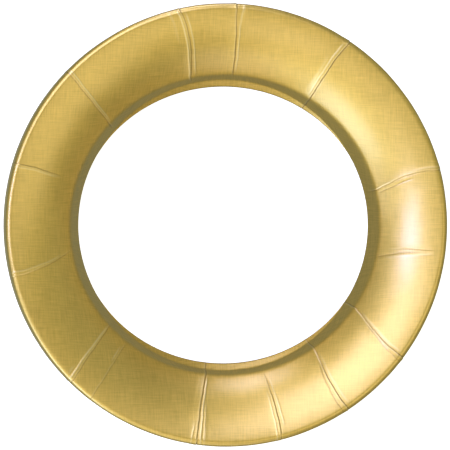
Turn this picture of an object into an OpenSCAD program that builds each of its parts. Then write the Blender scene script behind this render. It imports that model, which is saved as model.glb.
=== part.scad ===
// Cloth-covered wreath frame: a foam ring with a flat back and a face that slopes down towards the hole.
// The origin is the middle of the flat back, +Z is the axis of the ring and points out of the face.
// The outer edge is round. The hole is slightly oval, longer along X than along Y.

/* [Ring] */
// Diameter across the outer edge of the cloth
outer_d = 300; // [260:5:360]
// Width of the hole along X
hole_x = 198.5; // [180:0.5:200]
// Width of the hole along Y
hole_y = 188.5; // [176:0.5:200]
// Height from the flat back to the top of the rim
height = 40; // [38:0.5:42]

/* [Face] */
// Lean of the outer wall from upright, in degrees
outer_lean = 3; // [2:1:6]
// Radius of the rim, where the outer wall turns into the face
rim_r = 3.5; // [3:0.5:6]
// Radius of the long curve of the face, from the rim down to the hole
face_r = 84; // [80:1:96]
// Tilt of the face where it leaves the rim, in degrees
face_tilt = 13.5; // [12:0.5:18]

/* [Hole] */
// Lean of the wall of the hole from upright, in degrees
wall_lean = 21; // [18:1:24]
// Lean of the lip at the foot of that wall, in degrees
lip_lean = 45; // [40:1:50]
// How far the foot of the wall stands back behind the lip, along Y
lip_w = 3; // [2:0.25:3.5]
// Radius where the outer wall turns on to the back
back_edge_r = 2; // [1.5:0.25:3]
// Bevel where the hole turns on to the back
back_bevel = 1; // [0.5:0.25:1.5]

/* [Cover] */
// Thickness of the cloth with its adhesive
cloth_t = 0.6; // [0.4:0.1:0.8]
// Width of the hem turned in from the outer edge
outer_hem_w = 17; // [16:1:18]
// Width of the hem turned in from the hole
inner_hem_w = 16; // [15:1:17]

/* [Hem pins] */
// Wire diameter
pin_wire_d = 1; // [0.8:0.1:1]
// Distance between the two legs of a pin
pin_w = 12; // [8:1:14]
// Length of the legs
pin_leg = 11; // [8:1:12]
// Number of pins in the outer hem
outer_pins = 14; // [8:1:20]
// Number of pins in the hem round the hole
inner_pins = 10; // [6:1:14]
// Distance from the outer edge to the pins
outer_pin_in = 9; // [8:0.5:10]
// Distance from the hole to the pins
inner_pin_in = 10; // [9:0.5:10.5]

/* [Backing] */
// Thickness of the card
backing_t = 1.2; // [0.8:0.1:1.6]
// Gap that the glue beads fill between the card and the hem
glue_gap = 1; // [1:0.1:1.4]
// How far the card stays in from the outer edge
backing_out_in = 5; // [4:0.5:6]
// How far the card stays back from the hole
backing_hole_in = 5; // [4:0.5:6]
// Width of a glue bead
bead_w = 3; // [2:0.5:3]

/* [Hidden] */
$fn = 180;
clear = 1;
lap = 0.003;

hem_z = backing_t + glue_gap;
outer_r = outer_d / 2;
hole_r = (hole_x + hole_y) / 4;
hole_half = [hole_x / 2, hole_y / 2];

// Directions, as angles from +R towards +Z, in which the surface of the section faces
wall_out = outer_lean;
rim_in = 90 + face_tilt;
// Radius the section is drawn from, well inside the hole at its narrowest
face_from = 84;

function along(a) = [cos(a), sin(a)];
function unit_oval(a) = [hole_half.x * cos(a), hole_half.y * sin(a)] / hole_r;

// Centres of the arcs of the section, from the outer back edge up
c_edge = [outer_r - back_edge_r, hem_z + back_edge_r];
edge_top = c_edge + back_edge_r * along(wall_out);
wall_top_z = height - rim_r + rim_r * sin(wall_out);
wall_top_r = edge_top.x - (wall_top_z - edge_top.y) * tan(outer_lean);
c_rim = [wall_top_r - rim_r * cos(wall_out), height - rim_r];
c_face = c_rim - (face_r - rim_r) * along(rim_in);

// Section of the ring without its hole, sunk below the cloth by inset.
// The straight wall and the face stop lap short of the rounded parts' surface, so that all four pieces overlap.
module section(inset) {
  base = hem_z + inset;
  rim = rim_r - inset;
  edge = back_edge_r - inset;
  // The face and all below it, drawn past the hole, which then cuts through it
  intersection() {
    translate(c_face) circle(face_r - inset - lap);
    polygon([
      [c_rim.x, base],
      c_rim,
      c_rim + 2 * rim_r * along(rim_in),
      [face_from, height + rim_r],
      [face_from, base]
    ]);
  }
  // The rim
  translate(c_rim) circle(rim);
  // The outer edge of the back
  intersection() {
    translate(c_edge) circle(edge);
    polygon([
      c_edge,
      c_edge - [0, 2 * edge],
      c_edge + [2 * edge, -2 * edge],
      c_edge + [2 * edge, edge]
    ]);
  }
  // The outer wall and all behind it
  polygon([
    [c_rim.x - rim_r, base],
    [c_edge.x, base],
    c_edge + (edge - lap) * along(wall_out),
    c_rim + (rim - lap) * along(wall_out),
    c_rim - [rim_r, 0]
  ]);
}

// Oval cone: half sizes at height z, growing by the tangent of lean per millimetre of height from there
module oval_cone(half, z, lean, from, to) {
  r = (half.x + half.y) / 2;
  k = tan(lean);
  scale([half.x / r, half.y / r, 1])
    translate([0, 0, from]) cylinder(r1 = r + (from - z) * k, r2 = r + (to - z) * k, h = to - from);
}

// The oval hole: a leaning wall, a lip that comes forward at its foot along Y, and a bevel on the back
module hole_space(inset) {
  z = hem_z + back_bevel;
  out_wall = inset / cos(wall_lean) * [1, 1];
  out_lip = inset / cos(lip_lean) * [1, 1];
  intersection() {
    oval_cone(hole_half + [0, lip_w] + out_wall, z, wall_lean, hem_z - clear, height);
    oval_cone(hole_half + [1, 0] + out_lip, z, lip_lean, hem_z - clear, height);
  }
  oval_cone(hole_half + inset / cos(45) * [1, 1], z, -45, hem_z - clear, z);
}

// Outer shape of the covered ring, sunk below the cloth by inset
module ring_shape(inset) {
  difference() {
    rotate_extrude() section(inset);
    hole_space(inset);
  }
}

// Upright hole whose oval edge stays a set distance outside the hole of the ring
module hole_cut(margin, z, h) {
  translate([0, 0, z]) scale([(hole_x / 2 + margin) / hole_r, (hole_y / 2 + margin) / hole_r, 1])
    cylinder(r = hole_r, h = h);
}

// Flat band that follows the hole, from margin to margin + w away from it
module oval_band(margin, w, z, h) {
  difference() {
    hole_cut(margin + w, z, h);
    hole_cut(margin, z - clear, h + 2 * clear);
  }
}

// Flat round band
module round_band(r, w, z, h) {
  translate([0, 0, z]) difference() {
    cylinder(r = r + w, h = h);
    translate([0, 0, -clear]) cylinder(r = r, h = h + 2 * clear);
  }
}

// Copies of a hem pin's shape, each lying across the direction of its own angle
module at_outer_pins() {
  for (i = [0 : outer_pins - 1])
    rotate(360 * (i + 0.5) / outer_pins) translate([outer_r - outer_pin_in, 0, 0]) children();
}
module at_inner_pins() {
  for (i = [0 : inner_pins - 1])
    let (a = 360 * i / inner_pins, p = (hole_r + inner_pin_in) * unit_oval(a))
      translate([p.x, p.y, 0]) rotate(a) children();
}

module pin_legs(z, h) {
  for (side = [-1, 1])
    translate([0, side * pin_w / 2, z]) cylinder(d = pin_wire_d, h = h);
}

// Bent wire pin: two legs, two round bends and a crown that lies on the hem
module hem_pin() {
  crown_z = hem_z - pin_wire_d / 2;
  translate([0, -pin_w / 2, crown_z]) rotate([-90, 0, 0]) cylinder(d = pin_wire_d, h = pin_w);
  for (side = [-1, 1]) translate([0, side * pin_w / 2, crown_z]) sphere(d = pin_wire_d);
  pin_legs(crown_z, pin_leg);
}

// Moulded foam ring, pierced where the pins sit
module foam_core() {
  color([0.95, 0.95, 0.93]) difference() {
    ring_shape(cloth_t);
    at_outer_pins() pin_legs(hem_z - clear, pin_leg + clear);
    at_inner_pins() pin_legs(hem_z - clear, pin_leg + clear);
  }
}

// One sheet of satin over the face and both walls, turned on to the back as two hems
module satin_cover() {
  color([0.80, 0.68, 0.34]) difference() {
    ring_shape(0);
    ring_shape(cloth_t);
    difference() {
      translate([0, 0, hem_z - clear]) cylinder(r = outer_r - outer_hem_w, h = cloth_t + 2 * clear);
      hole_cut(inner_hem_w, hem_z - 2 * clear, cloth_t + 4 * clear);
    }
    at_outer_pins() pin_legs(hem_z - clear, pin_leg);
    at_inner_pins() pin_legs(hem_z - clear, pin_leg);
  }
}

module outer_hem_pins() {
  color([0.35, 0.36, 0.38]) at_outer_pins() hem_pin();
}

module inner_hem_pins() {
  color([0.35, 0.36, 0.38]) at_inner_pins() hem_pin();
}

// Three beads that hold the card: one on each hem, and a deeper one on the bare foam between them
module glue_beads() {
  color([0.90, 0.85, 0.65]) {
    round_band(outer_r - outer_hem_w + 1, bead_w, backing_t, glue_gap);
    round_band((outer_r + hole_r) / 2, bead_w, backing_t, glue_gap + cloth_t);
    oval_band(inner_hem_w - 1 - bead_w, bead_w, backing_t, glue_gap);
  }
}

// Card ring that hides the raw edges and the pins, and is what the frame rests on
module backing_ring() {
  color([0.72, 0.60, 0.44]) difference() {
    cylinder(r = outer_r - backing_out_in, h = backing_t);
    hole_cut(backing_hole_in, -clear, backing_t + 2 * clear);
  }
}

foam_core();
satin_cover();
outer_hem_pins();
inner_hem_pins();
glue_beads();
backing_ring();
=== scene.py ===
import math

import bpy
import numpy as np
from mathutils import Matrix, Vector


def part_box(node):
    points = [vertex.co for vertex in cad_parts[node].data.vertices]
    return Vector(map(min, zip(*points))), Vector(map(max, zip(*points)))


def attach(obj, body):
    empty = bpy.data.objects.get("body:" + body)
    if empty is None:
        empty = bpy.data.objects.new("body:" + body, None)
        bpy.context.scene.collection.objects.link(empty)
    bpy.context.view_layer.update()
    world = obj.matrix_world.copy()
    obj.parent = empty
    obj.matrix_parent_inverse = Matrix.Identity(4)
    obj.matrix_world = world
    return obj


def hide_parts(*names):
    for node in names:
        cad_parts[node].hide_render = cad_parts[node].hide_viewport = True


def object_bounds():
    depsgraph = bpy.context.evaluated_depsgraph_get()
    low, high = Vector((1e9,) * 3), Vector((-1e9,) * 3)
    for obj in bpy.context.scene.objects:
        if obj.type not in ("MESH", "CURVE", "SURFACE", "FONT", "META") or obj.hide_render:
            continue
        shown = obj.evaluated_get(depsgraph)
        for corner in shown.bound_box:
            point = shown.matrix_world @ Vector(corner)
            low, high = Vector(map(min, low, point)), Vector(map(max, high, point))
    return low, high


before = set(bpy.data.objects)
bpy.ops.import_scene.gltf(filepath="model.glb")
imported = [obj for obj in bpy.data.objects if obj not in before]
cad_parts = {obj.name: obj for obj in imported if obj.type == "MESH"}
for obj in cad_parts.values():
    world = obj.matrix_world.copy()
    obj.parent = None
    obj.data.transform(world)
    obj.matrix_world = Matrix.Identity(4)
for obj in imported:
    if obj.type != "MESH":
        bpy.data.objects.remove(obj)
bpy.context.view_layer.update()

MM = 0.001
TAU = 2 * math.pi


# ---------------------------------------------------------------- the frame's sizes

def node_points(name):
    """All vertices of a CAD node, in metres."""
    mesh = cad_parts[name].data
    co = np.zeros(len(mesh.vertices) * 3)
    mesh.vertices.foreach_get("co", co)
    return co.reshape(-1, 3)


def hole_half_sizes(points, window=0.08):
    """Half the hole's width along X and along Y, from the points that lie nearly on those axes."""
    r = np.hypot(points[:, 0], points[:, 1])
    turn = np.arctan2(points[:, 1], points[:, 0])
    near_x = np.abs(np.sin(turn)) < window
    near_y = np.abs(np.cos(turn)) < window
    return float(r[near_x].min()), float(r[near_y].min())


COVER_LO, COVER_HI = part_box("satin_cover")
HEM_Z, CROWN_Z = COVER_LO.z, COVER_HI.z
OUTER_R = COVER_HI.x
HOLE_X, HOLE_Y = hole_half_sizes(node_points("satin_cover"))

# Section of the ring, as in the CAD model, but the raw edges of the hems stop 0.4 mm short of its hems
OUTER_LEAN, FACE_TILT, WALL_LEAN, LIP_LEAN = 3.0, 13.5, 21.0, 45.0
RIM_R, FACE_R, EDGE_R = 3.5 * MM, 84 * MM, 2 * MM
LIP_W, LIP_PAST, BEVEL = 3 * MM, 1 * MM, 1 * MM
OUTER_HEM_W, INNER_HEM_W = 16.6 * MM, 15.6 * MM
CLOTH_T = 0.35 * MM
# The lip is at least this high
LIP_MIN = 0.5 * MM


# ---------------------------------------------------------------- small helpers

def smooth(x, lo, hi):
    """0 below lo, 1 above hi and an S between them."""
    t = np.clip((np.asarray(x, float) - lo) / (hi - lo), 0, 1)
    return t * t * (3 - 2 * t)


def along(degrees):
    """The direction at an angle in the section, as a unit vector."""
    a = math.radians(degrees)
    return np.array([math.cos(a), math.sin(a)])


def mesh_object(name, verts, faces):
    """A smooth-shaded mesh, linked into the scene."""
    mesh = bpy.data.meshes.new(name)
    mesh.from_pydata([tuple(v) for v in verts], [], [tuple(f) for f in faces])
    mesh.update()
    mesh.polygons.foreach_set("use_smooth", [True] * len(mesh.polygons))
    obj = bpy.data.objects.new(name, mesh)
    bpy.context.scene.collection.objects.link(obj)
    return obj


# ---------------------------------------------------------------- section of the cover

def arc(centre, r, a0, a1, n):
    """Points and outward directions along an arc of the section."""
    return [(centre + r * along(a), along(a)) for a in np.linspace(a0, a1, n)]


def line(p, q, facing, n):
    """Points between two ends, ends left out, all facing one way."""
    return [(p + (q - p) * i / (n + 1), facing) for i in range(1, n + 1)]


def rim_centres():
    """Centres of the rim's arc and of the face's arc, and the top of the outer edge's arc."""
    edge = np.array([OUTER_R - EDGE_R, HEM_Z + EDGE_R])
    edge_top = edge + EDGE_R * along(OUTER_LEAN)
    wall_z = CROWN_Z - RIM_R + RIM_R * along(OUTER_LEAN)[1]
    wall_r = edge_top[0] - (wall_z - edge_top[1]) * math.tan(math.radians(OUTER_LEAN))
    rim = np.array([wall_r - RIM_R * along(OUTER_LEAN)[0], CROWN_Z - RIM_R])
    face = rim - (FACE_R - RIM_R) * along(90 + FACE_TILT)
    return edge, edge_top, rim, face


def outer_rows():
    """The round part, from the raw edge of the outer hem, round the back edge, up to the end of the rim."""
    edge, edge_top, rim, _ = rim_centres()
    down = np.array([0.0, -1.0])
    hem = np.array([OUTER_R - OUTER_HEM_W, HEM_Z])
    wall_top = rim + RIM_R * along(OUTER_LEAN)
    rows = [(hem, down)] + line(hem, np.array([edge[0], HEM_Z]), down, 3)
    rows += arc(edge, EDGE_R, -90, OUTER_LEAN, 6)
    rows += line(edge_top, wall_top, along(OUTER_LEAN), 7)
    rows += arc(rim, RIM_R, OUTER_LEAN, 90 + FACE_TILT, 15)
    return np.array([p for p, _ in rows]), np.array([f for _, f in rows])


def oval(half, turn):
    """Radius of an oval with two half sizes, in the directions turn (radians from +X)."""
    return 1 / np.sqrt((np.cos(turn) / half[0]) ** 2 + (np.sin(turn) / half[1]) ** 2)


# Points along each stretch of the oval part of the section, before it is smoothed
FACE_STEPS, WALL_STEPS, LIP_STEPS, BEVEL_STEPS, HEM_STEPS = 160, 50, 30, 6, 60
# Passes of smoothing over all of it, and over the soft turn from the face on to the wall
ALL_PASSES, SOFT_PASSES = 8, 55
SOFT_FROM, SOFT_TO = FACE_STEPS - 32, FACE_STEPS + 34
# First and last point and the number of points kept after that: on the face, the soft turn, the wall, the
# lip, the edge of the hole and the hem
KEPT = ((3, 146, 26), (150, 168, 7), (171, 204, 10), (208, 240, 10), (242, 254, 6), (262, 306, 4))
# The face's arc ends before this angle, and it takes so many halvings to find where
FACE_LIMIT, HALVINGS = 150.0, 40


def hole_sections(turn):
    """The oval part: down the face, the wall and the lip, round to the raw edge of the inner hem.

    Returns radius, height and the two parts of the facing, with one row per point of the section and one
    column per direction in turn."""
    _, _, _, face = rim_centres()
    z_edge = HEM_Z + BEVEL
    k_wall, k_lip = math.tan(math.radians(WALL_LEAN)), math.tan(math.radians(LIP_LEAN))
    wall = oval((HOLE_X, HOLE_Y + LIP_W), turn)
    lip = oval((HOLE_X + LIP_PAST, HOLE_Y), turn)

    def on_face(degrees):
        a = np.radians(degrees)
        return face[0] + FACE_R * np.cos(a), face[1] + FACE_R * np.sin(a)

    # where the face meets the wall
    lo, hi = np.full_like(turn, 90 + FACE_TILT), np.full_like(turn, FACE_LIMIT)
    for _ in range(HALVINGS):
        mid = (lo + hi) / 2
        r, z = on_face(mid)
        outside = r > wall + (z - z_edge) * k_wall
        lo, hi = np.where(outside, mid, lo), np.where(outside, hi, mid)
    foot = lo

    # where the wall meets the lip, and the edge of the hole
    z_lip = z_edge + np.maximum((wall - lip) / (k_lip - k_wall), LIP_MIN)
    r_lip = wall + (z_lip - z_edge) * k_wall
    r_hole = np.minimum(wall, lip)

    def spread(p, q, n):
        t = np.linspace(0, 1, n + 1)[:-1, None]
        return p[0] + (q[0] - p[0]) * t, p[1] + (q[1] - p[1]) * t

    shares = np.linspace(0, 1, FACE_STEPS + 1)[:-1, None]
    parts = [on_face(90 + FACE_TILT + (foot - 90 - FACE_TILT) * shares)]
    ends = [
        on_face(foot),
        (r_lip, z_lip),
        (r_hole, np.full_like(turn, z_edge)),
        (r_hole + BEVEL, np.full_like(turn, HEM_Z)),
        (r_hole + INNER_HEM_W, np.full_like(turn, HEM_Z)),
    ]
    counts = (WALL_STEPS, LIP_STEPS, BEVEL_STEPS, HEM_STEPS)
    for p, q, n in zip(ends, ends[1:], counts):
        parts.append(spread(p, q, n))
    parts.append((ends[-1][0][None], ends[-1][1][None]))
    r = np.concatenate([p for p, _ in parts])
    z = np.concatenate([q for _, q in parts])

    # the cloth rounds every corner of the foam a little, and most of all at the soft turn
    for first, last, times in ((0, len(r), ALL_PASSES), (SOFT_FROM, SOFT_TO, SOFT_PASSES)):
        for _ in range(times):
            for v in (r[first:last], z[first:last]):
                v[1:-1] = (v[:-2] + 2 * v[1:-1] + v[2:]) / 4
    dr, dz = np.gradient(r, axis=0), np.gradient(z, axis=0)
    length = np.hypot(dr, dz)
    keep = np.concatenate([np.linspace(first, last, n) for first, last, n in KEPT]).astype(int)
    return r[keep], z[keep], (dz / length)[keep], (-dr / length)[keep]


# ---------------------------------------------------------------- the tucks

# A fold that starts here comes up the outer wall from the hem
FROM_HEM = -1.2

# A tuck is a pressed fold that runs from the rim to the hole, with creases beside it. A line is given as three
# azimuths in degrees, clockwise from the top: at the rim, halfway and at the hole. Where it starts and ends is
# given as a share of that way, 0 at the rim and 1 at the hole.
# fold: line, height in mm, the way its edge faces (1 is clockwise), start and end
# creases: line, depth in mm (below 0 for a ridge), half width in mm, start and end
TUCKS = [
    dict(fold=((2.2, 2.6, 2.9), 0.30, 1, FROM_HEM, 1.1),
         creases=[((4.1, 3.4, 3.3), -0.13, 0.5, -0.2, 0.35),
                  ((3.3, 3.6, 3.8), -0.12, 0.45, 0.2, 1.0)]),
    dict(fold=((33.6, 33.1, 33.9), 0.42, 1, FROM_HEM, 1.9),
         creases=[((32.6, 32.0, 32.7), -0.16, 0.5, 0.0, 1.0),
                  ((31.2, 31.0, 32.4), -0.06, 0.9, 0.25, 0.9),
                  ((30.2, 30.4, 30.6), -0.12, 0.5, -0.1, 0.12)]),
    dict(fold=((75.2, 74.7, 76.8), 0.26, 1, FROM_HEM, 1.2),
         creases=[((75.6, 76.3, 78.2), 0.14, 0.4, 0.35, 1.0),
                  ((74.3, 73.9, 75.6), -0.07, 0.7, -0.2, 0.4)]),
    dict(fold=((97.0, 97.6, 98.9), 0.22, 1, 0.10, 0.85),
         creases=[((98.2, 98.7, 101.8), 0.14, 0.4, 0.30, 1.1),
                  ((97.6, 99.6, 102.2), -0.06, 0.8, 0.1, 0.9)]),
    dict(fold=((127.2, 125.9, 122.4), 0.36, -1, FROM_HEM, 1.5),
         creases=[((128.5, 126.6, 122.7), 0.16, 0.4, -0.1, 0.75),
                  ((126.4, 125.0, 121.7), -0.08, 0.7, 0.0, 0.9)]),
    dict(fold=((147.0, 146.5, 144.3), 0.32, -1, FROM_HEM, 1.5),
         creases=[((148.4, 147.6, 144.6), 0.16, 0.4, -0.1, 0.8),
                  ((145.8, 145.4, 143.2), -0.07, 0.7, 0.0, 0.9)]),
    dict(fold=((166.0, 165.2, 165.7), 0.22, -1, FROM_HEM, 1.0),
         creases=[((164.9, 164.0, 164.8), -0.12, 0.45, 0.1, 0.9),
                  ((167.0, 166.4, 166.6), -0.12, 0.45, -0.1, 0.7)]),
    dict(fold=((188.5, 188.4, 187.6), 0.34, -1, FROM_HEM, 1.9),
         creases=[((187.5, 187.5, 186.8), -0.16, 0.5, -0.2, 1.0),
                  ((186.6, 186.7, 186.2), -0.10, 0.4, -0.2, 0.6),
                  ((190.0, 189.3, 188.8), -0.12, 0.4, -0.3, 0.3)]),
    dict(fold=((218.5, 219.5, 220.2), 0.16, -1, FROM_HEM, 1.0),
         creases=[((219.4, 220.4, 221.3), -0.11, 0.45, 0.55, 0.9)]),
    dict(fold=((225.2, 227.2, 229.3), 0.24, -1, FROM_HEM, 1.1),
         creases=[((226.1, 228.0, 229.9), -0.16, 0.55, -0.1, 1.0),
                  ((227.3, 228.4, 230.2), -0.10, 0.4, -0.3, 0.2)]),
    dict(fold=((256.5, 257.5, 261.0), 0.18, -1, FROM_HEM, 1.0),
         creases=[((257.6, 258.3, 261.8), -0.10, 0.5, -0.1, 0.8)]),
    dict(fold=((286.0, 286.5, 285.5), 0.20, 1, FROM_HEM, 0.75),
         creases=[((285.2, 285.8, 284.8), -0.10, 0.5, -0.1, 0.7)]),
    dict(fold=((313.4, 312.4, 310.9), 0.28, -1, FROM_HEM, 1.2),
         creases=[((314.2, 313.2, 311.7), -0.17, 0.5, -0.1, 1.0)]),
    dict(fold=((347.3, 348.3, 346.7), 0.26, 1, FROM_HEM, 1.2),
         creases=[((346.6, 347.4, 346.2), -0.18, 0.5, -0.1, 1.1),
                  ((348.4, 349.4, 348.4), -0.14, 0.45, 0.0, 1.0),
                  ((344.4, 345.0, 345.5), -0.08, 0.6, -0.1, 0.45)]),
]

# The mesh's columns stand FINE apart up to REACH on each side of a fold, and COARSE apart elsewhere, in mm
REACH, FINE, COARSE = 4.6, 0.36, 1.25
# How far a fold's line wanders, in degrees
WANDER = 0.16

# Across a fold, in mm from its edge, which faces the side above 0: the cloth rises over FLANK from the
# stretch FOOT and drops again over the stretch DROP. Beside the edge lies a groove with painted shade in it,
# and behind the edge a painted highlight along the fold.
FLANK, FOOT, DROP = 2.4, (-6.5, -3.5), (-0.30, 0.28)
GROOVE_AT, GROOVE_W, GROOVE_SHARE = 0.35, 0.42, 0.30
SHADE_AT, SHADE_W, CREASE_SHADE = 0.28, 0.36, 0.7
HIGHLIGHT_AT, HIGHLIGHT_W, HIGHLIGHT_SHARE = -0.45, 0.40, 0.6
# Folds and ridges this high have their full share of painted shade and painted highlight
FULL_FOLD, FULL_RIDGE = 0.34, 0.16
# A line fades in and out over these shares of the way from the rim to the hole
FADE_IN, FADE_OUT = 0.12, 0.16
# Parts of a line's wander: waves over the way, and how large
WANDER_PARTS = ((7, 1.0), (17, 0.6), (37, 0.35))


def bend(three, s):
    """A smooth line through three values at s = 0, 0.5 and 1, held straight outside that stretch."""
    a, b, c = three
    t = np.clip(s, 0, 1)
    return a * (1 - t) * (1 - 2 * t) + 4 * b * t * (1 - t) - c * t * (1 - 2 * t)


def waver(travel, seed, size):
    """A small irregular wander of a line, in degrees."""
    starts = np.random.default_rng(seed).uniform(0, TAU, len(WANDER_PARTS))
    total = sum(part * np.sin(rate * travel + start) for (rate, part), start in zip(WANDER_PARTS, starts))
    return size * total / sum(part for _, part in WANDER_PARTS)


def columns(travel, radius):
    """Azimuths of the columns in degrees clockwise from the top, one row per point of the section."""
    mm_to_deg = np.degrees(1 * MM / radius)
    lines = [bend(t["fold"][0], travel) + waver(travel, k, WANDER) for k, t in enumerate(TUCKS)]
    turns = []
    fine = np.arange(-REACH, REACH + FINE / 2, FINE)
    for k, here in enumerate(lines):
        turns += [here + x * mm_to_deg for x in fine]
        start = turns[-1]
        once_round = 360 if k == len(lines) - 1 else 0
        stop = lines[(k + 1) % len(lines)] + once_round - REACH * mm_to_deg
        n = max(2, int(round(float(np.mean((stop - start) / mm_to_deg)) / COARSE)))
        turns += [start + (stop - start) * i / n for i in range(1, n)]
    return np.array(turns).T


def relief(turn, travel, radius):
    """Height of the cloth over the foam in mm, the painted shade in the gap beside a fold, and the painted
    highlight along a fold's edge or a ridge, the last two 0 to 1."""
    height, painted_shade, edge = np.zeros_like(turn), np.zeros_like(turn), np.zeros_like(turn)
    for k, tuck in enumerate(TUCKS):
        shift = waver(travel, k, WANDER)

        def across(three):
            d = turn - (bend(three, travel) + shift)[:, None]
            return ((d + 180) % 360 - 180) * (np.radians(1) * radius / MM)[:, None]

        def ends(start, stop):
            fade_in = smooth(travel, start, start + FADE_IN)
            return (fade_in * (1 - smooth(travel, stop - FADE_OUT, stop)))[:, None]

        three, h, side, start, stop = tuck["fold"]
        x, here = across(three) * side, ends(start, stop)
        shown = min(h / FULL_FOLD, 1.0) * here
        rise = np.where(x < 0, np.exp(np.minimum(x, 0) / FLANK), 0) * smooth(x, *FOOT)
        height += h * here * rise * (1 - smooth(x, *DROP))
        height -= GROOVE_SHARE * h * here * np.exp(-((x - GROOVE_AT) / GROOVE_W) ** 2)
        # painted shade: the gap beside the fold is darkened where shade would fall
        painted_shade += shown * np.exp(-((x - SHADE_AT) / SHADE_W) ** 2)
        # painted highlight: a lighter line along the fold's edge, where light would catch
        edge += HIGHLIGHT_SHARE * shown * np.exp(-((x - HIGHLIGHT_AT) / HIGHLIGHT_W) ** 2)
        for three, depth, w, start, stop in tuck["creases"]:
            x, here = across(three), ends(start, stop)
            height -= depth * here * np.exp(-(x / w) ** 2)
            # a groove gets painted shade, a ridge gets a painted highlight
            if depth > 0:
                painted_shade += CREASE_SHADE * here * np.exp(-(x / SHADE_W) ** 2)
            else:
                edge += min(-depth / FULL_RIDGE, 1.0) * here * np.exp(-(x / w) ** 2)
    return height, np.clip(painted_shade, 0, 1), np.clip(edge, 0, 1)


# The slow waves of the cloth: how many go round the ring, and how fast each changes from the rim to the hole
SLOW_WAVES = ((3, 0.6), (5, 1.1), (8, 1.5), (13, 2.0), (21, 2.6), (34, 3.4))


def waves(turn, travel, seed):
    """Slow rise and fall of the cloth between its tucks, about -1 to 1."""
    rng = np.random.default_rng(seed)
    total = np.zeros(np.broadcast(turn, travel).shape)
    for cycles, across in SLOW_WAVES:
        a, b = rng.uniform(0, TAU, 2)
        total += np.sin(np.radians(turn) * cycles + a) * np.cos(travel * across * 3 + b) / 3
    return total


def ring_points(r, z, turn):
    """Points at radius r and height z, in the direction turn (radians from +X)."""
    return np.stack([r * np.cos(turn), r * np.sin(turn), z], axis=2)


# Rows of the cover, counted from the end of its round part: on the rim, on top of it, at the end of the face
RIM_ROW, TOP_ROW, FOOT_ROW = -6, -4, 29
# Every so many rows of the upper side have one on the underside
UNDER_STEP = 7
# Height of the slow waves, and the share of the relief that is left in the pressed hems
WAVE, PRESSED = 0.07 * MM, 0.3
WAVE_SEED = 3


def build_cover():
    outer, facing = outer_rows()
    n_outer = len(outer)
    # the round part and a mean section of the oval part give the rows their place along the cloth
    mean_r, mean_z, _, _ = hole_sections(np.array([math.pi / 4]))
    places = np.concatenate([outer, np.stack([mean_r[:, 0], mean_z[:, 0]], axis=1)])
    dist = np.concatenate([[0], np.cumsum(np.hypot(*np.diff(places, axis=0).T))])
    n = len(places)
    start, foot = n_outer + RIM_ROW, n_outer + FOOT_ROW
    travel = (dist - dist[start]) / (dist[foot] - dist[start])
    turn = columns(travel, places[:, 0])
    cols = turn.shape[1]
    math_turn = np.radians(90 - turn)

    r, z, nr, nz = (np.zeros((n, cols)) for _ in range(4))
    r[:n_outer], z[:n_outer] = outer[:, :1], outer[:, 1:]
    nr[:n_outer], nz[:n_outer] = facing[:, :1], facing[:, 1:]
    for i in range(n_outer, n):
        hr, hz, hnr, hnz = hole_sections(math_turn[i])
        j = i - n_outer
        r[i], z[i], nr[i], nz[i] = hr[j], hz[j], hnr[j], hnz[j]

    height, painted_shade, edge = relief(turn, travel, places[:, 0])
    # the hems lie pressed under the card
    free = smooth(places[:, 1], HEM_Z + 0.3 * MM, HEM_Z + 5 * MM)[:, None]
    lift = height * MM * (PRESSED + (1 - PRESSED) * free)
    lift += WAVE * waves(turn, travel[:, None], WAVE_SEED) * free
    top = ring_points(r + nr * lift, z + nz * lift, math_turn)

    under_rows = list(range(0, n, UNDER_STEP)) + ([n - 1] if (n - 1) % UNDER_STEP else [])
    under = ring_points(r - nr * CLOTH_T, z - nz * CLOTH_T, math_turn)[under_rows[::-1]]

    loop = np.concatenate([top, under])
    index = np.arange(len(loop) * cols).reshape(len(loop), cols)
    next_row = np.roll(index, -1, axis=0)
    corners = [index, np.roll(index, -1, axis=1), np.roll(next_row, -1, axis=1), next_row]
    cover = mesh_object("satin_cover_cloth", loop.reshape(-1, 3), np.stack(corners, axis=2).reshape(-1, 4))

    # Where each point lies on the flat sheet, in metres, so that the weave runs with the cloth
    top_row = n_outer + TOP_ROW
    flat_r = places[top_row, 0] + dist[top_row] - dist
    flat = ring_points(flat_r[:, None], np.zeros_like(r), math_turn)
    flat = np.concatenate([flat, flat[under_rows[::-1]]]).reshape(-1, 3)
    cloth = cover.data.attributes.new("cloth", "FLOAT_VECTOR", "POINT")
    cloth.data.foreach_set("vector", flat.astype(np.float32).ravel())
    # the painted crease shade and the painted fold highlight, stored on the points for the cloth's colour
    for name, values in (("fold_painted_shade", painted_shade), ("fold_painted_highlight", edge)):
        values = np.concatenate([values, np.zeros((len(under_rows), cols))]).astype(np.float32)
        cover.data.attributes.new(name, "FLOAT", "POINT").data.foreach_set("value", values.ravel())
    return cover, float(flat_r[0]), float(flat_r[-1])


# ---------------------------------------------------------------- materials

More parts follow.
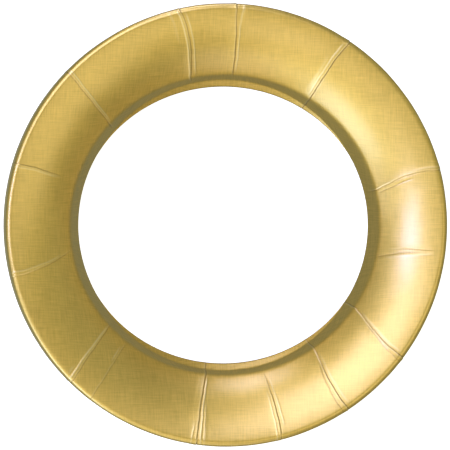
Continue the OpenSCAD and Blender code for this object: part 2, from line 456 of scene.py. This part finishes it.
class Nodes:
    """A small helper that builds a node material."""

    def __init__(self, name):
        self.mat = bpy.data.materials.new(name)
        self.mat.use_nodes = True
        self.tree = self.mat.node_tree
        self.tree.nodes.clear()
        self.out = self.add("ShaderNodeOutputMaterial")
        self.bsdf = self.add("ShaderNodeBsdfPrincipled")
        self.link(self.bsdf.outputs[0], self.out.inputs["Surface"])

    def add(self, kind, **settings):
        node = self.tree.nodes.new(kind)
        for key, value in settings.items():
            if hasattr(node, key):
                setattr(node, key, value)
            else:
                node.inputs[key.replace("_", " ")].default_value = value
        return node

    def link(self, a, b):
        self.tree.links.new(a, b)

    def math(self, op, a, b=None):
        node = self.add("ShaderNodeMath", operation=op)
        for i, value in enumerate((a, b)):
            if value is None:
                continue
            if isinstance(value, (int, float)):
                node.inputs[i].default_value = value
            else:
                self.link(value, node.inputs[i])
        return node.outputs[0]

    def noise(self, vector, scale, detail=2.0, roughness=0.5):
        node = self.add("ShaderNodeTexNoise", Scale=scale, Detail=detail, Roughness=roughness)
        self.link(vector, node.inputs["Vector"])
        return node.outputs["Fac"]

    def stretched(self, vector, scale):
        node = self.add("ShaderNodeMapping")
        node.inputs["Scale"].default_value = scale
        self.link(vector, node.inputs["Vector"])
        return node.outputs[0]

    def ramp(self, fac, stops):
        node = self.add("ShaderNodeValToRGB")
        while len(node.color_ramp.elements) < len(stops):
            node.color_ramp.elements.new(0.5)
        for element, (at, colour) in zip(node.color_ramp.elements, stops):
            element.position = at
            element.color = (*colour, 1)
        self.link(fac, node.inputs[0])
        return node.outputs[0]

    def mix(self, blend, share, under, colour):
        """Blend a plain colour over another one, by a share from 0 to 1."""
        node = self.add("ShaderNodeMix", data_type="RGBA", blend_type=blend)
        # sockets 6 and 7 are the two colours of this node, and output 2 is their blend
        self.link(share, node.inputs[0])
        self.link(under, node.inputs[6])
        node.inputs[7].default_value = (*colour, 1)
        return node.outputs[2]

    def bump(self, height, strength, distance, under=None):
        node = self.add("ShaderNodeBump", Strength=strength, Distance=distance)
        self.link(height, node.inputs["Height"])
        if under is not None:
            self.link(under, node.inputs["Normal"])
        return node.outputs[0]


THREAD_PITCH = 0.42 * MM


def satin_material():
    n = Nodes("gold_satin")
    cloth = n.add("ShaderNodeAttribute", attribute_name="cloth").outputs["Vector"]
    place = n.add("ShaderNodeTexCoord").outputs["Object"]
    split = n.add("ShaderNodeSeparateXYZ")
    n.link(cloth, split.inputs[0])
    x, y = split.outputs[0], split.outputs[1]

    # Threads at one pitch both ways, with slubs, which are short thicker stretches
    turns_per_metre = TAU / THREAD_PITCH
    warp = n.math("SINE", n.math("MULTIPLY", x, turns_per_metre))
    weft = n.math("SINE", n.math("MULTIPLY", y, turns_per_metre))
    weave = n.math("ADD", n.math("MULTIPLY", warp, 0.5), n.math("MULTIPLY", weft, 0.5))
    slub_x = n.noise(n.stretched(cloth, (75, 1250, 1)), 1.0, 2.0, 0.6)
    slub_y = n.noise(n.stretched(cloth, (1250, 75, 1)), 1.0, 2.0, 0.6)
    slubs = n.math("MULTIPLY", n.math("ADD", slub_x, slub_y), 0.5)
    soft = n.noise(place, 28.0, 2.0)
    blotch = n.noise(place, 9.0, 1.0)

    tone = n.math("ADD", n.math("MULTIPLY", slubs, 0.80), n.math("MULTIPLY", soft, 0.12))
    tone = n.math("ADD", tone, n.math("MULTIPLY", blotch, 0.08))
    colour = n.ramp(tone, [(0.36, (0.62, 0.425, 0.072)), (0.64, (0.86, 0.595, 0.122))])
    # Painted shade: the cloth is darkened in the creases beside folds and in grooves, where shade would fall
    painted_shade = n.add("ShaderNodeAttribute", attribute_name="fold_painted_shade").outputs["Fac"]
    colour = n.mix("MULTIPLY", n.math("MULTIPLY", painted_shade, 0.75), colour, (0.42, 0.30, 0.20))
    # Painted highlight: the cloth is lightened along fold edges and ridges, where light would catch
    edge = n.add("ShaderNodeAttribute", attribute_name="fold_painted_highlight").outputs["Fac"]
    colour = n.mix("MIX", n.math("MULTIPLY", edge, 0.55), colour, (1.0, 0.86, 0.48))
    n.link(colour, n.bsdf.inputs["Base Color"])
    rough = n.math("ADD", n.math("MULTIPLY", slubs, 0.16), 0.36)
    n.link(rough, n.bsdf.inputs["Roughness"])
    normal = n.bump(slubs, 0.32, 0.15 * MM)
    normal = n.bump(weave, 0.12, 0.06 * MM, normal)
    n.link(normal, n.bsdf.inputs["Normal"])
    n.bsdf.inputs["Metallic"].default_value = 1.0
    n.bsdf.inputs["Coat Weight"].default_value = 1.0
    n.bsdf.inputs["Coat Roughness"].default_value = 0.27
    n.bsdf.inputs["Coat IOR"].default_value = 1.8
    return n.mat


def card_material():
    n = Nodes("grey_board")
    place = n.add("ShaderNodeTexCoord").outputs["Object"]
    fibres = n.noise(n.stretched(place, (300, 1500, 300)), 1.0, 3.0, 0.6)
    flecks = n.noise(place, 900.0, 2.0, 0.7)
    cloud = n.noise(place, 30.0, 3.0)
    tone = n.math("ADD", n.math("MULTIPLY", fibres, 0.4), n.math("MULTIPLY", flecks, 0.35))
    tone = n.math("ADD", tone, n.math("MULTIPLY", cloud, 0.25))
    n.link(n.ramp(tone, [(0.35, (0.36, 0.27, 0.17)), (0.5, (0.50, 0.39, 0.26)), (0.66, (0.60, 0.49, 0.34))]),
           n.bsdf.inputs["Base Color"])
    n.link(n.math("ADD", n.math("MULTIPLY", fibres, 0.2), 0.75), n.bsdf.inputs["Roughness"])
    n.link(n.bump(tone, 0.5, 0.15 * MM), n.bsdf.inputs["Normal"])
    return n.mat


def foam_material():
    n = Nodes("foam_beads")
    place = n.add("ShaderNodeTexCoord").outputs["Object"]
    cells = n.add("ShaderNodeTexVoronoi", feature="DISTANCE_TO_EDGE", Scale=330.0)
    n.link(place, cells.inputs["Vector"])
    shade = n.noise(place, 60.0, 2.0)
    n.link(n.ramp(n.math("ADD", cells.outputs[0], n.math("MULTIPLY", shade, 0.2)),
                  [(0.05, (0.74, 0.74, 0.72)), (0.25, (0.90, 0.90, 0.885))]), n.bsdf.inputs["Base Color"])
    n.link(n.math("ADD", n.math("MULTIPLY", shade, 0.2), 0.55), n.bsdf.inputs["Roughness"])
    n.link(n.bump(cells.outputs[0], 0.6, 0.6 * MM), n.bsdf.inputs["Normal"])
    return n.mat


def wire_material():
    n = Nodes("blued_wire")
    place = n.add("ShaderNodeTexCoord").outputs["Object"]
    scuff = n.noise(place, 700.0, 3.0, 0.6)
    colour = n.ramp(scuff, [(0.35, (0.10, 0.11, 0.13)), (0.7, (0.24, 0.24, 0.25))])
    n.link(colour, n.bsdf.inputs["Base Color"])
    n.link(n.math("ADD", n.math("MULTIPLY", scuff, 0.3), 0.22), n.bsdf.inputs["Roughness"])
    n.link(n.bump(scuff, 0.2, 0.05 * MM), n.bsdf.inputs["Normal"])
    n.bsdf.inputs["Metallic"].default_value = 1.0
    return n.mat


def glue_material():
    n = Nodes("hot_glue")
    place = n.add("ShaderNodeTexCoord").outputs["Object"]
    cloud = n.noise(place, 120.0, 2.0)
    n.link(n.ramp(cloud, [(0.3, (0.62, 0.52, 0.30)), (0.7, (0.78, 0.70, 0.48))]), n.bsdf.inputs["Base Color"])
    n.link(n.math("ADD", n.math("MULTIPLY", cloud, 0.2), 0.25), n.bsdf.inputs["Roughness"])
    n.link(n.bump(cloud, 0.4, 0.4 * MM), n.bsdf.inputs["Normal"])
    return n.mat


def dress(obj, material):
    obj.data.materials.clear()
    obj.data.materials.append(material)


# ---------------------------------------------------------------- the stage

def floor_material():
    n = Nodes("pale_floor")
    n.bsdf.inputs["Base Color"].default_value = (0.82, 0.82, 0.82, 1)
    n.bsdf.inputs["Roughness"].default_value = 0.9
    n.bsdf.inputs["Specular IOR Level"].default_value = 0.1
    n.bsdf.inputs["Emission Color"].default_value = (1, 1, 1, 1)
    n.bsdf.inputs["Emission Strength"].default_value = 0.85
    return n.mat


def build_stage():
    half = 6.0
    corners = [(-half, -half, 0), (half, -half, 0), (half, half, 0), (-half, half, 0)]
    floor = mesh_object("floor", corners, [(0, 1, 2, 3)])
    dress(floor, floor_material())
    floor.visible_glossy = False
    floor.visible_diffuse = False


# The lights stand this far from the point that they are aimed at
LIGHT_DISTANCE = 2.0
LIGHT_AIM = Vector((0, 0, 0.02))


def area_light(name, polar, azimuth, size, power, tint):
    """A square softbox. polar is its angle from straight up, azimuth its direction seen from above,
    counterclockwise from +X."""
    light = bpy.data.lights.new(name, "AREA")
    light.shape = "SQUARE"
    light.size = size
    light.energy = power
    light.color = tint
    p, a = math.radians(polar), math.radians(azimuth)
    away = Vector((math.sin(p) * math.cos(a), math.sin(p) * math.sin(a), math.cos(p)))
    obj = bpy.data.objects.new(name, light)
    bpy.context.scene.collection.objects.link(obj)
    obj.location = LIGHT_AIM + away * LIGHT_DISTANCE
    obj.rotation_euler = away.to_track_quat("Z", "Y").to_euler()


def build_lights():
    # A broad arc of soft light from low at the bottom left, over the left, to the top, and weak fill opposite
    area_light("upper_left_softbox", 36, 120, 1.3, 14.6, (1.01, 0.98, 1.30))
    area_light("left_softbox", 43, 174, 0.6, 6.2, (0.92, 1.0, 2.20))
    area_light("left_strip", 74, 196, 0.8, 2.0, (1.00, 1.0, 1.30))
    area_light("lower_left_softbox", 50, 231, 2.0, 7.3, (1.12, 1.0, 0.72))
    area_light("lower_left_strip", 74, 225, 1.1, 8.6, (0.78, 1.0, 1.50))
    area_light("bottom_strip", 74, 270, 1.1, 3.4, (1.08, 1.0, 0.95))
    area_light("top_strip", 81, 95, 0.8, 6.4, (1.00, 1.0, 1.40))
    area_light("lower_fill", 33, 267, 0.8, 1.3, (1.12, 1.0, 0.85))
    area_light("right_fill", 36, 330, 1.3, 5.2, (1.10, 1.0, 0.72))
    area_light("upper_right_fill", 63, 22, 1.9, 2.0, (1.00, 1.0, 0.60))
    world = bpy.data.worlds.new("studio")
    bpy.context.scene.world = world
    world.use_nodes = True
    back = world.node_tree.nodes["Background"]
    back.inputs["Color"].default_value = (0.93, 1.0, 0.73, 1)
    back.inputs["Strength"].default_value = 0.27


def build_camera():
    cam_data = bpy.data.cameras.new("camera")
    cam = bpy.data.objects.new("camera", cam_data)
    bpy.context.scene.collection.objects.link(cam)
    distance, tilt = 1.5, math.radians(5.0)
    middle = Vector((0, 0, (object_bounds()[0].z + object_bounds()[1].z) / 2))
    back = Vector((-math.sin(tilt), 0, math.cos(tilt)))
    cam.location = middle + back * distance
    right, up = Vector((math.cos(tilt), 0, math.sin(tilt))), Vector((0, 1, 0))
    cam.rotation_euler = Matrix((right, up, back)).transposed().to_euler()
    cam_data.sensor_width = 36
    # the ring's outer edge fills this share of the frame's width
    share = 0.986
    cam_data.lens = share * cam_data.sensor_width * distance / (2 * OUTER_R)
    # and it stands a touch to the right of the middle
    cam_data.shift_x = -0.0022
    bpy.context.scene.camera = cam


# ---------------------------------------------------------------- everything together

build_camera()
cover, sheet_r, sheet_hole_r = build_cover()
dress(cover, satin_material())
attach(cover, "root")
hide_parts("satin_cover")

for name, material in (
    ("foam_core", foam_material()),
    ("backing_ring", card_material()),
    ("glue_beads", glue_material()),
):
    dress(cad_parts[name], material)
pin_wire = wire_material()
for name in ("outer_hem_pins", "inner_hem_pins"):
    dress(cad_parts[name], pin_wire)

build_stage()
build_lights()
bpy.context.scene.view_settings.view_transform = "Standard"
